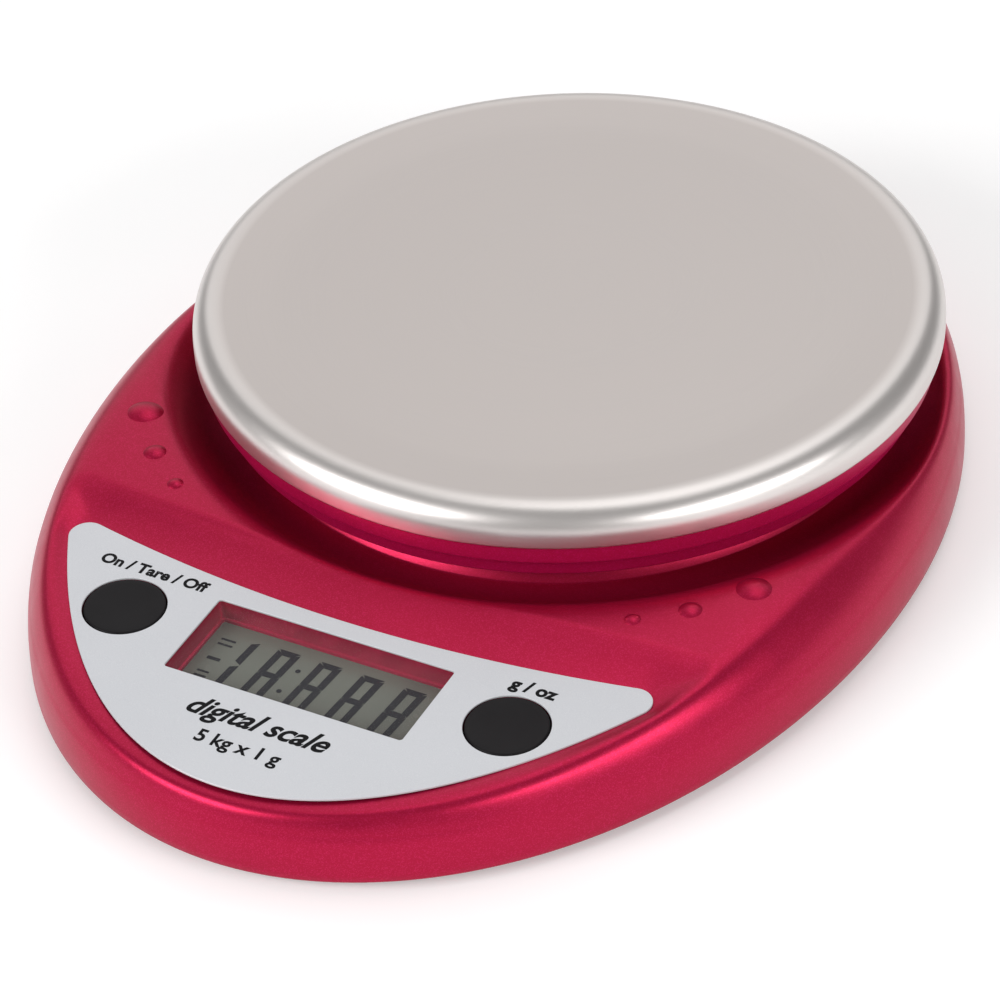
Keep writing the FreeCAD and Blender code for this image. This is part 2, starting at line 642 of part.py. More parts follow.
def quartz_crystal():
    return on_panel(rod_x(14, 20, -73, BOARD_BOTTOM - 1.0, 1.0))


def board_capacitors():
    """Row of small chip capacitors under the board."""
    return group([on_panel(box(x - 1.0, -64.0, BOARD_BOTTOM - 0.9, x + 1.0, -62.7, BOARD_BOTTOM))
                  for x in (-12, -6, 0, 6, 12)])


def plug_socket(x0, x1):
    socket = box(x0, -56.5, BOARD_TOP, x1, -51.0, BOARD_TOP + 3.2)
    return on_panel(socket.cut(box(x0 + 0.7, -55, BOARD_TOP + 1.9, x1 - 0.7, -52, BOARD_TOP + 4)))


SENSOR_X = -13.5
SUPPLY_X = (-21.0, -24.0)
LEAD_END_Y = -50.77
LEAD_END_Z = 10.3


def sensor_lead():
    return tube([(-10, CELL_Y0 - SEAL - 0.03, 13), (-10, 9, 12.6), (-11, -6, 9), (-12.6, -24, 8),
                 (-13.3, -40, 9), (SENSOR_X, LEAD_END_Y, LEAD_END_Z)], 1.0)


def supply_leads():
    start = TAG_END_X - 0.05
    near = BAY_Y - BATTERY_PITCH / 2
    far = BAY_Y + BATTERY_PITCH / 2
    negative = tube([(start, near, TAG_Z), (-37, near, 15.8), (-42.5, 47, 11.5), (-45.5, 34, 8.4),
                     (-44.5, 17, 8), (-38, -4, 7.6), (-28, -28, 8.4), (SUPPLY_X[0], LEAD_END_Y, LEAD_END_Z)],
                    0.7)
    positive = tube([(start, far, TAG_Z), (-39, far, 15.8), (-46, 59, 11.5), (-50, 44, 8.6), (-50.5, 25, 8),
                     (-46, 2, 7.8), (-34, -25, 8.4), (SUPPLY_X[1], LEAD_END_Y, LEAD_END_Z)], 0.7)
    return group([negative, positive])


# ---- batteries ------------------------------------------------------------------------
def battery(side):
    """One AA cell; side -1 is the front cell with its nub at +X, side 1 the rear one, reversed."""
    y = BAY_Y + side * BATTERY_PITCH / 2
    nub_end = BAY_X - 0.4
    can = rod_x(nub_end - BATTERY_NUB - BATTERY_CAN, nub_end - BATTERY_NUB, y, BATTERY_Z, BATTERY_R)
    rims = [e for e in can.Edges if e.Length > 20 and len(e.Vertexes) == 1]
    can = can.makeFillet(0.6, rims)
    cell = can.fuse(rod_x(nub_end - BATTERY_NUB, nub_end, y, BATTERY_Z, 2.6))
    if side > 0:
        cell = cell.mirror(V(0, 0, 0), V(1, 0, 0))
    return cell


def spring_coil(y):
    """Compressed contact spring at the -X end of the bay."""
    length = 2 * BAY_X - 0.4 - BATTERY_NUB - BATTERY_CAN - 0.9
    turns = 3
    coil = Part.makeHelix(length / turns, length, 4.0)
    profile = Part.Wire([Part.makeCircle(0.35, V(4.0, 0, 0), V(0, 1, 0))])
    spring = Part.Wire(coil).makePipeShell([profile], True, True)
    spring.rotate(V(0, 0, 0), V(0, 1, 0), 90)
    spring.translate(V(-BAY_X + 0.55, y, BATTERY_Z))
    return spring


def contact_plate(y, reach=5.0):
    return box(-BAY_X, y - reach, PLATE_TOP + 2, -BAY_X + 0.4, y + reach, BAY_ROOF - 2)


def negative_contact():
    y = BAY_Y - BATTERY_PITCH / 2
    return contact_plate(y).fuse(spring_coil(y)).fuse(tag_slots(0)[0])


def positive_contact():
    y = BAY_Y + BATTERY_PITCH / 2
    return contact_plate(y).fuse(tag_slots(0)[1])


def bridge_contact():
    """Strip at the +X end that joins the two cells."""
    far = BAY_Y + BATTERY_PITCH / 2
    strip = contact_plate(BAY_Y, BATTERY_PITCH / 2 + 5).fuse(spring_coil(far))
    return strip.mirror(V(0, 0, 0), V(1, 0, 0))


def housing_screws():
    places = both_sides(HOUSING_BOSSES)
    return group([screw(x, y, PLATE_Z + 1.2, 10.2, 1.32, 2.8, 1.15) for x, y, _ in places])


# ---- all the pieces -------------------------------------------------------------------
def pieces():
    out = {
        "top_housing": top_housing(),
        "bottom_housing": bottom_housing(),
        "housing_screws": housing_screws(),
        "battery_door": battery_door(),
        "platform_cover": platform_cover(),
        "cover_pads": cover_pads(),
        "platform_tray": platform_tray(),
        "platform_spider": platform_spider(),
        "spider_screws": spider_screws(),
        "load_cell": load_cell(),
        "gauge_seal": gauge_seal(),
        "cell_top_screws": cell_top_screws(),
        "cell_base_screws": cell_base_screws(),
        "overload_stop": overload_stop(),
        "panel_overlay": panel_overlay(),
        "display_window": display_window(),
        "lcd_glass": lcd_glass(),
        "lcd_holder": lcd_holder(),
        "contact_strips": contact_strips(),
        "main_board": main_board(),
        "board_screws": board_screws(),
        "controller_chip": controller_chip(),
        "quartz_crystal": quartz_crystal(),
        "board_capacitors": board_capacitors(),
        "sensor_socket": plug_socket(SENSOR_X - 3.0, SENSOR_X + 3.0),
        "supply_socket": plug_socket(SUPPLY_X[1] - 2.2, SUPPLY_X[0] + 2.2),
        "sensor_lead": sensor_lead(),
        "supply_leads": supply_leads(),
        "battery_front": battery(-1),
        "battery_rear": battery(1),
        "negative_contact": negative_contact(),
        "positive_contact": positive_contact(),
        "bridge_contact": bridge_contact(),
    }
    for name, x in (("tare", -BUTTON_X), ("unit", BUTTON_X)):
        out[name + "_button"] = push_button(x)
        out[name + "_switch_plunger"] = switch_plunger(x)
        out[name + "_switch_housing"] = switch_housing(x)
    for place, (x, y) in zip(("front_right", "front_left", "rear_right", "rear_left"), both_sides(FEET)):
        out["foot_" + place] = foot(x, y)
    return out


os.makedirs("parts", exist_ok=True)
for node, shape in pieces().items():
    print(node, "solids", len(shape.Solids), "valid", shape.isValid(), "volume %.0f" % shape.Volume)
    shape.exportStep("parts/" + node + ".step")
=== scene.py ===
"""Looks of a compact oval kitchen scale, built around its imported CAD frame.

Lengths are in millimetres in the frame's axes (-Y is the front) and become metres in the meshes.
The panel has its own axes: x and y in the tilted panel plane, and height above it.
"""
import json
import math

import bmesh
import bpy
import numpy as np
from mathutils import Matrix, Vector

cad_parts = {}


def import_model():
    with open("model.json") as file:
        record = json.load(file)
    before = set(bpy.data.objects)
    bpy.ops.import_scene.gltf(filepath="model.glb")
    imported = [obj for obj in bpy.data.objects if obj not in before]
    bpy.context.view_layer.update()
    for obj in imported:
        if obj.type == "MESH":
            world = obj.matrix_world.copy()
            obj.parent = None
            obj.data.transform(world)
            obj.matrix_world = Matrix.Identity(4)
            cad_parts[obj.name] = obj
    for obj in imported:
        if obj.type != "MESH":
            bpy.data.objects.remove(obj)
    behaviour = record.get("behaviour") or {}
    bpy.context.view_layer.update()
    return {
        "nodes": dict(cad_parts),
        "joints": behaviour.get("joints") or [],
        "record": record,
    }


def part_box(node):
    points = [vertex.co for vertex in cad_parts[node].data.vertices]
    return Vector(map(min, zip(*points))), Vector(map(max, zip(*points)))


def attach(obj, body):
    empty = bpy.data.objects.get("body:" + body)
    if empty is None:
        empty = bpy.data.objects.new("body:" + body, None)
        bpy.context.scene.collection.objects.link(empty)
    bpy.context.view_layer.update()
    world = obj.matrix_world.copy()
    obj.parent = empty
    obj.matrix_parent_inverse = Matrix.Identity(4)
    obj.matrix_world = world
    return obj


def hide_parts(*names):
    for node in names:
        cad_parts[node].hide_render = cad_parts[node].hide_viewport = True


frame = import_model()
MM = 0.001


def node_box(name):
    """Lowest and highest corner of a CAD node in millimetres."""
    low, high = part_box(name)
    return np.array(low) / MM, np.array(high) / MM


# ---- sizes, in millimetres ---------------------------------------------------------------
HOUSING_LOW, HOUSING_HIGH = node_box("top_housing")
COVER_LOW, COVER_HIGH = node_box("platform_cover")
TRAY_LOW, TRAY_HIGH = node_box("platform_tray")
OVERLAY_LOW = node_box("panel_overlay")[0]
LCD_LOW, LCD_HIGH = node_box("lcd_glass")

HALF_WIDTH = HOUSING_HIGH[0]
WAIST_Y = 2.5                    # where the body is widest
FRONT_LENGTH = WAIST_Y - HOUSING_LOW[1]
REAR_LENGTH = HOUSING_HIGH[1] - WAIST_Y
BODY_BOTTOM = HOUSING_LOW[2]
DOME_RUN = 16.0                  # the side rises over this inset
DOME_RISE = 19.5
DOME_POWER = 2.4

PLATFORM_Y = (COVER_LOW[1] + COVER_HIGH[1]) / 2
COVER_R = COVER_HIGH[0]
COVER_BOTTOM = COVER_LOW[2]
COVER_TOP = COVER_HIGH[2]
COVER_EDGE_R = 4.8
COVER_SHEET = 0.6
COVER_DISH = 0.6
COVER_FLAT_R = 55.0
TRAY_UPPER_R = TRAY_HIGH[0]
TRAY_LOWER_R = TRAY_UPPER_R - 1.9
TRAY_BOTTOM = TRAY_LOW[2]
TRAY_TOP = TRAY_HIGH[2]
TRAY_STEP = TRAY_BOTTOM + 3.8
TRAY_SKIN = 2.0

WELL_FLOOR = 13.0                # broad bowl around the platform
WELL_RISE = 7.2
WELL_EDGE_R = 72.5
WELL_SOFT = 2.0
WELL_OUTER_R = 76.0              # outside this radius the bowl's edge keeps rising gently
WELL_OUTER_SLOPE = 0.09
PEDESTAL_R = 62.0
PEDESTAL_TOP = 26.0
BROW_Y = -46.0                   # height and fall of the surface behind the panel's crest
BROW_Z = 18.75
BROW_SLOPE = 0.075
BUMPS = ((62.1, -23.3, 3.1, 0.9), (54.3, -32.9, 2.1, 0.7), (46.2, -39.1, 1.5, 0.55))

PRESS_AXIS = next(j for j in frame["joints"] if j["name"] == "tare_button_press")["axis"]
PANEL_TILT = math.atan2(PRESS_AXIS[1], -PRESS_AXIS[2])
PANEL_Y = -63.6
FILM_THICK = 0.35
OVERLAY_SEMI_X = 97.7            # semi-axes of the ellipse at the film's front
OVERLAY_SEMI_Y = 236.9
OVERLAY_REAR = -58.0
OVERLAY_REAR_R = 278.0
OVERLAY_TIP_R = 3.4
PANEL_Z = OVERLAY_LOW[2] + FILM_THICK + (PANEL_Y - OVERLAY_LOW[1]) * math.tan(PANEL_TILT)
WINDOW_HALF = (23.5, 9.6)
WINDOW_Y = (LCD_LOW[1] + LCD_HIGH[1]) / 2
WINDOW_DEPTH = 4.3
WINDOW_DRAFT = 0.8
BUTTON_X = 38.0
BUTTON_Y = -70.2
BUTTON_R = 7.32
HOLE_R = BUTTON_R + 0.28
RECESS_FLOOR = -0.40             # under the film
RECESS_RISE = 1.3                # crest above the panel plane
RECESS_SHARE = 0.55              # straight part of the slope up to the crest; the rest is curved
CREST_AHEAD = 1.5                # crest line in front of the film's front edge
CREST_SEMI_X = 72.9
CREST_SEMI_Y = 99.8
CREST_REAR = -46.7
CREST_REAR_R = 602.0
CREST_TIP_R = 4.2
CREST_TIP_LIFT = 0.5             # the rear crest rises by this much at its tips
CREST_TIP_X = 64.0
FILM_MARGIN = 0.15               # the recess starts to rise just outside the film

PANEL = (Matrix.Translation((0, PANEL_Y * MM, PANEL_Z * MM)) @ Matrix.Rotation(PANEL_TILT, 4, "X")
         @ Matrix.Translation((0, -PANEL_Y * MM, 0)))


# ---- outlines and heights ----------------------------------------------------------------
def d_outline(front_y, semi_x, semi_y, rear_y, rear_r, tip_r):
    """A D seen from above, counter-clockwise: elliptic front, hollow rear arc, round tips."""
    ellipse_y = front_y + semi_y
    circle = np.array([0.0, rear_y + rear_r])

    def front(turn):
        return np.array([semi_x * math.sin(turn), ellipse_y - semi_y * math.cos(turn)])

    def outward(turn):
        normal = np.array([math.sin(turn) / semi_x, -math.cos(turn) / semi_y])
        return normal / np.linalg.norm(normal)

    low, high = 0.2, 1.5
    for _ in range(60):
        turn = (low + high) / 2
        centre = front(turn) - tip_r * outward(turn)
        if np.linalg.norm(circle - centre) > rear_r + tip_r:
            low = turn
        else:
            high = turn
    right = [front(t) for t in np.linspace(0, turn, 70)]
    to_circle = circle - centre
    start = math.atan2(*outward(turn)[::-1])
    end = math.atan2(to_circle[1], to_circle[0])
    right += [centre + tip_r * np.array([math.cos(a), math.sin(a)]) for a in np.linspace(start, end, 18)[1:]]
    corner = right[-1]
    reach = math.asin(corner[0] / rear_r)
    right += [circle + rear_r * np.array([math.sin(a), -math.cos(a)]) for a in np.linspace(reach, 0, 40)[1:]]
    right = np.array(right)
    left = right[-2:0:-1] * (-1, 1)
    return np.vstack([right, left])


OVERLAY_OUTLINE = d_outline(OVERLAY_LOW[1], OVERLAY_SEMI_X, OVERLAY_SEMI_Y, OVERLAY_REAR, OVERLAY_REAR_R,
                            OVERLAY_TIP_R)
CREST_OUTLINE = d_outline(OVERLAY_LOW[1] - CREST_AHEAD, CREST_SEMI_X, CREST_SEMI_Y, CREST_REAR, CREST_REAR_R,
                          CREST_TIP_R)


def circle_outline(x, y, radius, count=96):
    turns = np.linspace(0, 2 * math.pi, count, endpoint=False)
    return np.stack([x + radius * np.cos(turns), y + radius * np.sin(turns)], 1)


def rounded_rect(half_x, half_y, centre_y, corner_r, steps=6):
    """Counter-clockwise, starting at the lower right corner."""
    points = []
    for quarter, (sx, sy) in enumerate(((1, -1), (1, 1), (-1, 1), (-1, -1))):
        middle = np.array([sx * (half_x - corner_r), centre_y + sy * (half_y - corner_r)])
        for angle in np.linspace(quarter - 1, quarter, steps) * math.pi / 2:
            points.append(middle + corner_r * np.array([math.cos(angle), math.sin(angle)]))
    return np.array(points)


def grown(loop, distance):
    """The counter-clockwise loop moved outward."""
    along = np.roll(loop, -1, 0) - np.roll(loop, 1, 0)
    normal = np.stack([along[:, 1], -along[:, 0]], 1)
    return loop + distance * normal / np.linalg.norm(normal, axis=1, keepdims=True)


def signed_distance(x, y, loop):
    """Distance from each point to the loop, negative inside."""
    best = np.full(x.shape, 1e9)
    inside = np.zeros(x.shape, bool)
    for a, b in zip(loop, np.roll(loop, -1, 0)):
        side = b - a
        share = np.clip(((x - a[0]) * side[0] + (y - a[1]) * side[1]) / (side @ side), 0, 1)
        best = np.minimum(best, np.hypot(x - a[0] - share * side[0], y - a[1] - share * side[1]))
        if a[1] != b[1]:
            crosses = (a[1] > y) != (b[1] > y)
            inside ^= crosses & (x < side[0] * (y - a[1]) / side[1] + a[0])
    return np.where(inside, -best, best)


def smooth_min(a, b, reach):
    overlap = np.clip(reach - np.abs(a - b), 0, None) / reach
    return np.minimum(a, b) - overlap ** 2 * reach / 4


def inset_of(x, y):
    """How far inside the body's outline each point lies."""
    length = np.where(y > WAIST_Y, REAR_LENGTH, FRONT_LENGTH)
    low = np.full(x.shape, -1.0)
    high = np.full(x.shape, HALF_WIDTH - 0.01)
    for _ in range(40):
        middle = (low + high) / 2
        outside = (x / (HALF_WIDTH - middle)) ** 2 + ((y - WAIST_Y) / (length - middle)) ** 2 > 1
        high = np.where(outside, middle, high)
        low = np.where(outside, low, middle)
    return (low + high) / 2


def dome_height(inset):
    share = np.clip(1 - inset / DOME_RUN, 0, 1)
    return BODY_BOTTOM + DOME_RISE * (1 - share ** DOME_POWER) ** (1 / DOME_POWER)


def well_height(x, y):
    radius = np.hypot(x, y - PLATFORM_Y)
    rise = WELL_RISE / (1 + np.exp((WELL_EDGE_R - radius) / WELL_SOFT))
    return WELL_FLOOR + rise + WELL_OUTER_SLOPE * np.clip(radius - WELL_OUTER_R, 0, None)


def recess_height(x, y):
    from_film = signed_distance(x, y, OVERLAY_OUTLINE) - FILM_MARGIN
    from_crest = signed_distance(x, y, CREST_OUTLINE)
    inside = from_film / np.maximum(from_film - from_crest, 1e-6)
    share = np.where(from_crest < 0, inside, 1 + from_crest / 6)
    share = np.clip(share, 0, None)
    behind = np.clip((y + 75) / 15, 0, 1)
    crest = RECESS_RISE + CREST_TIP_LIFT * behind * (x / CREST_TIP_X) ** 2
    bend = RECESS_SHARE * share + (1 - RECESS_SHARE) * share ** 2
    level = RECESS_FLOOR + (crest - RECESS_FLOOR) * bend
    return PANEL_Z + math.tan(PANEL_TILT) * (y - PANEL_Y) + level


def brow_height(y):
    """The upper surface falls gently towards the crest behind the panel."""
    return BROW_Z + BROW_SLOPE * (y - BROW_Y)


def shell_height(x, y):
    top = smooth_min(dome_height(inset_of(x, y)), well_height(x, y), 3.0)
    top = smooth_min(top, brow_height(y), 1.6)
    return smooth_min(top, recess_height(x, y), 0.7)


# ---- mesh helpers ------------------------------------------------------------------------
def new_object(name, vertices, faces, smooth=True):
    """An object from vertices in millimetres."""
    mesh = bpy.data.meshes.new(name)
    mesh.from_pydata((np.asarray(vertices, float) * MM).tolist(), [], faces)
    mesh.validate()
    if smooth:
        mesh.shade_smooth()
    piece = bpy.data.objects.new(name, mesh)
    bpy.context.scene.collection.objects.link(piece)
    return piece


def ring_faces(first, second, count):
    """Quads between two closed rings of vertex numbers that start at first and second."""
    return [(first + i, first + (i + 1) % count, second + (i + 1) % count, second + i) for i in range(count)]


class Mesh:
    """Collects vertices and faces in millimetres."""

    def __init__(self):
        self.vertices = []
        self.faces = []

    def ring(self, points):
        start = len(self.vertices)
        self.vertices.extend(map(tuple, points))
        return start

    def skin(self, rings):
        """Closed rings of equal length, joined one to the next."""
        starts = [self.ring(r) for r in rings]
        for a, b in zip(starts, starts[1:]):
            self.faces += ring_faces(a, b, len(rings[0]))
        return starts

    def cap(self, start, count, centre):
        """A fan that closes a ring."""
        middle = self.ring([centre])
        self.faces += [(start + i, start + (i + 1) % count, middle) for i in range(count)]

    def build(self, name, smooth=True):
        return new_object(name, self.vertices, self.faces, smooth)


def circle_ring(radius, z, count, x=0.0, y=PLATFORM_Y):
    turns = np.linspace(0, 2 * math.pi, count, endpoint=False)
    return np.stack([x + radius * np.cos(turns), y + radius * np.sin(turns), np.full(count, z)], 1)


TURNED_SIDES = 300


def lathe(name, profile):
    """Turns a (radius, z) profile about the platform's axis; an end on the axis is closed by a fan."""
    mesh = Mesh()
    starts = mesh.skin([circle_ring(r, z, TURNED_SIDES) for r, z in profile if r > 0])
    for (r, z), start in ((profile[0], starts[0]), (profile[-1], starts[-1])):
        if r <= 0:
            mesh.cap(start, TURNED_SIDES, (0.0, PLATFORM_Y, z))
    piece = mesh.build(name)
    piece.data.set_sharp_from_angle(angle=math.radians(40))
    return piece


def flat_piece(name, loops, thickness, top=0.0, bevel=0.0):
    """A sheet on the panel, cut to the first loop, with the others as holes and an optional bevel on top."""
    bm = bmesh.new()
    edges = []
    for number, loop in enumerate(loops):
        outward = 1 if number == 0 else -1
        levels = [(grown(loop, -bevel * outward), top), (loop, top - bevel), (loop, top - thickness)]
        if not bevel:
            levels = levels[1:]
        rings = [[bm.verts.new((px * MM, py * MM, z * MM)) for px, py in points] for points, z in levels]
        for upper, lower in zip(rings, rings[1:]):
            for i in range(len(upper)):
                j = (i + 1) % len(upper)
                bm.faces.new((upper[i], lower[i], lower[j], upper[j]))
        edges += [bm.edges.get((rings[0][i], rings[0][(i + 1) % len(loop)])) for i in range(len(loop))]
    bmesh.ops.triangle_fill(bm, edges=edges, use_beauty=True)
    bmesh.ops.recalc_face_normals(bm, faces=bm.faces)
    mesh = bpy.data.meshes.new(name)
    bm.to_mesh(mesh)
    bm.free()
    piece = bpy.data.objects.new(name, mesh)
    bpy.context.scene.collection.objects.link(piece)
    mesh.transform(PANEL)
    return piece


def join(name, pieces):
    """One object from several."""
    bm = bmesh.new()
    for piece in pieces:
        bm.from_mesh(piece.data)
    mesh = bpy.data.meshes.new(name)
    bm.to_mesh(mesh)
    bm.free()
    for piece in pieces:
        old = piece.data
        bpy.data.objects.remove(piece)
        bpy.data.meshes.remove(old)
    whole = bpy.data.objects.new(name, mesh)
    bpy.context.scene.collection.objects.link(whole)
    return whole


# ---- materials ---------------------------------------------------------------------------
class Nodes:
    """Shorthand for building one material's node tree."""

    def __init__(self, name):
        self.material = bpy.data.materials.new(name)
        self.material.use_nodes = True
        self.tree = self.material.node_tree
        self.shader = self.tree.nodes["Principled BSDF"]
        self.place = self.add("ShaderNodeTexCoord").outputs["Object"]

    def add(self, kind, **settings):
        node = self.tree.nodes.new(kind)
        for key, value in settings.items():
            setattr(node, key, value)
        return node

    def link(self, output, target):
        self.tree.links.new(output, target)

    def noise(self, size, detail=2.0, rough=0.5, stretch=(1, 1, 1), vector=None):
        """Noise whose features are about size millimetres wide."""
        mapping = self.add("ShaderNodeMapping")
        mapping.inputs["Scale"].default_value = [s / (size * MM) for s in stretch]
        self.link(vector or self.place, mapping.inputs["Vector"])
        node = self.add("ShaderNodeTexNoise")
        node.inputs["Scale"].default_value = 1.0
        node.inputs["Detail"].default_value = detail
        node.inputs["Roughness"].default_value = rough
        self.link(mapping.outputs["Vector"], node.inputs["Vector"])
        return node.outputs["Fac"]

    def ranged(self, value, low, high, start=0.3, end=0.7):
        node = self.add("ShaderNodeMapRange")
        for socket, number in (("From Min", start), ("From Max", end), ("To Min", low), ("To Max", high)):
            node.inputs[socket].default_value = number
        self.link(value, node.inputs["Value"])
        return node.outputs["Result"]

    def mixed(self, share, first, second):
        node = self.add("ShaderNodeMix", data_type="RGBA")
        self.link(share, node.inputs["Factor"])
        for socket, colour in ((6, first), (7, second)):
            if isinstance(colour, tuple):
                node.inputs[socket].default_value = (*colour, 1)
            else:
                self.link(colour, node.inputs[socket])
        return node.outputs[2]

    def bump(self, height, distance, strength=1.0, under=None):
        """distance is the relief's depth in millimetres."""
        node = self.add("ShaderNodeBump")
        node.inputs["Distance"].default_value = distance * MM
        node.inputs["Strength"].default_value = strength
        self.link(height, node.inputs["Height"])
        if under is not None:
            self.link(under, node.inputs["Normal"])
        return node.outputs["Normal"]

    def set(self, **values):
        for key, value in values.items():
            self.shader.inputs[key.replace("_", " ")].default_value = value

    def colour(self, share, first, second):
        """Base colour mixed from two."""
        self.link(self.mixed(share, first, second), self.shader.inputs["Base Color"])

    def radius(self):
        """(radius, direction) from the platform's axis, radius in metres."""
        offset = self.add("ShaderNodeVectorMath", operation="SUBTRACT")
        self.link(self.place, offset.inputs[0])
        offset.inputs[1].default_value = (0, PLATFORM_Y * MM, 0)
        flat = self.add("ShaderNodeVectorMath", operation="MULTIPLY")
        self.link(offset.outputs[0], flat.inputs[0])
        flat.inputs[1].default_value = (1, 1, 0)
        length = self.add("ShaderNodeVectorMath", operation="LENGTH")
        self.link(flat.outputs[0], length.inputs[0])
        unit = self.add("ShaderNodeVectorMath", operation="NORMALIZE")
        self.link(flat.outputs[0], unit.inputs[0])
        return length.outputs["Value"], unit.outputs[0]


def tint(colour, factor):
    return tuple(min(1.0, c * factor) for c in colour)


def moulded(name, colour, roughness, grain=0.35, depth=0.006, tone=0.05, specular=0.5):
    """Moulded surface: slight tone drift, uneven gloss, fine grain and a faint large ripple."""
    n = Nodes(name)
    drift = n.noise(28, detail=3)
    speck = n.noise(grain * 2.2, detail=2, rough=0.6)
    base = n.mixed(n.ranged(drift, 0, 1), tint(colour, 1 - tone), tint(colour, 1 + tone))
    fine = n.mixed(n.ranged(speck, 0, 1), base, tint(colour, 1 + 2 * tone))
    blend = n.add("ShaderNodeMix", data_type="RGBA")
    blend.inputs["Factor"].default_value = 0.35
    n.link(base, blend.inputs[6])
    n.link(fine, blend.inputs[7])
    n.link(blend.outputs[2], n.shader.inputs["Base Color"])
    n.link(n.ranged(n.noise(7, detail=4), roughness - 0.04, roughness + 0.04), n.shader.inputs["Roughness"])
    ripple = n.bump(n.noise(16, detail=1), 0.02, 0.5)
    n.link(n.bump(n.noise(grain, detail=3, rough=0.6), depth, 1.0, ripple), n.shader.inputs["Normal"])
    n.set(Specular_IOR_Level=specular)
    return n.material


def red_satin(name, colour, roughness, metallic):
    """Warm red plastic with fine metallic flakes, tone drift and a fine grain."""
    n = Nodes(name)
    drift = n.noise(40, detail=3)
    cells = n.add("ShaderNodeTexVoronoi")
    cells.inputs["Scale"].default_value = 1 / (0.16 * MM)
    n.link(n.place, cells.inputs["Vector"])
    flakes = n.add("ShaderNodeSeparateColor")
    n.link(cells.outputs["Color"], flakes.inputs[0])
    base = n.mixed(n.ranged(drift, 0, 1), tint(colour, 0.95), tint(colour, 1.05))
    sparkle = (colour[0] * 1.25, colour[1] * 2.2, colour[2] * 1.8)
    bright = n.mixed(n.ranged(flakes.outputs[0], 0, 1, 0.6, 1.0), base, sparkle)
    n.link(bright, n.shader.inputs["Base Color"])
    n.link(n.ranged(n.noise(5, detail=4), roughness - 0.03, roughness + 0.03), n.shader.inputs["Roughness"])
    soft = n.bump(n.noise(22, detail=1), 0.03, 0.4)
    grain = n.bump(n.noise(0.3, detail=3, rough=0.65), 0.004, 0.9, soft)
    n.link(grain, n.shader.inputs["Normal"])
    n.set(Metallic=metallic, Specular_IOR_Level=0.26)
    return n.material


def brushed_cover():
    """Stainless sheet, brushed in circles: rougher on the flat top, nearly polished on the rolled edge. The
    flat top is also painted a darker steel than the rolled edge, as painted shade on one steel sheet.
    """
    n = Nodes("cover_steel")
    radius, direction = n.radius()
    height = n.add("ShaderNodeSeparateXYZ")
    n.link(n.place, height.inputs[0])
    around = n.add("ShaderNodeVectorMath", operation="SCALE")
    n.link(direction, around.inputs[0])
    around.inputs["Scale"].default_value = 0.012
    across = n.add("ShaderNodeCombineXYZ")
    n.link(radius, across.inputs[0])
    n.link(height.outputs[2], across.inputs[1])
    both = n.add("ShaderNodeVectorMath", operation="ADD")
    n.link(across.outputs[0], both.inputs[0])
    n.link(around.outputs[0], both.inputs[1])
    lines = n.noise(0.16, detail=4, rough=0.7, stretch=(1, 1, 0.02), vector=both.outputs[0])
    spread = n.add("ShaderNodeVectorMath", operation="MULTIPLY_ADD")
    n.link(direction, spread.inputs[0])
    spread.inputs[1].default_value = (0.0008, 0.0008, 0)
    n.link(across.outputs[0], spread.inputs[2])
    strokes = n.noise(0.22, detail=3, rough=0.65, vector=spread.outputs[0])
    rim = n.ranged(radius, 0, 1, (COVER_R - 6.2) * MM, (COVER_R - 3.2) * MM)
    tone = n.mixed(n.ranged(strokes, 0, 1), (0.525, 0.482, 0.464), (0.55, 0.506, 0.487))
    arcs = n.ranged(n.noise(9, detail=1, vector=across.outputs[0]), 0, 1)
    tone = n.mixed(arcs, tone, (0.54, 0.495, 0.476))
    # Painted shade: the flat top's steel colour is darker than the rolled edge's, though the sheet is one
    # steel.
    n.colour(rim, tone, (0.74, 0.70, 0.68))
    flat_rough = n.ranged(strokes, 0.40, 0.45)
    mix = n.add("ShaderNodeMix", data_type="FLOAT")
    n.link(rim, mix.inputs["Factor"])
    n.link(flat_rough, mix.inputs["A"])
    n.link(n.ranged(lines, 0.34, 0.42), mix.inputs["B"])
    n.link(mix.outputs["Result"], n.shader.inputs["Roughness"])
    n.link(n.bump(strokes, 0.0020, 0.5, n.bump(lines, 0.002, 0.6)), n.shader.inputs["Normal"])
    n.set(Metallic=1.0)
    return n.material


def printed_film():
    """Silver-grey printed film: fine pearl speck under a satin surface."""
    n = Nodes("overlay_film")
    speck = n.noise(0.12, detail=2, rough=0.6)
    drift = n.noise(30, detail=2)
    base = n.mixed(n.ranged(drift, 0, 1), (0.555, 0.565, 0.595), (0.58, 0.59, 0.62))
    n.colour(n.ranged(speck, 0, 1, 0.45, 0.75), base, (0.66, 0.67, 0.69))
    n.link(n.ranged(n.noise(4, detail=3), 0.38, 0.44), n.shader.inputs["Roughness"])
    n.link(n.bump(n.noise(0.25, detail=2), 0.0015, 0.8), n.shader.inputs["Normal"])
    n.set(Metallic=0.1, Specular_IOR_Level=0.4)
    return n.material


def display_back():
    """Grey-green reflective display with a faint tone drift and a fine grain."""
    n = Nodes("display_glass")
    drift = n.noise(18, detail=2)
    grain = n.noise(0.2, detail=2)
    base = n.mixed(n.ranged(drift, 0, 1), (0.115, 0.123, 0.100), (0.130, 0.138, 0.114))
    n.colour(n.ranged(grain, 0, 0.5), base, (0.15, 0.158, 0.135))
    n.link(n.ranged(n.noise(6), 0.20, 0.28), n.shader.inputs["Roughness"])
    n.link(n.bump(grain, 0.001, 0.5), n.shader.inputs["Normal"])
    n.set(Specular_IOR_Level=0.15)
    return n.material


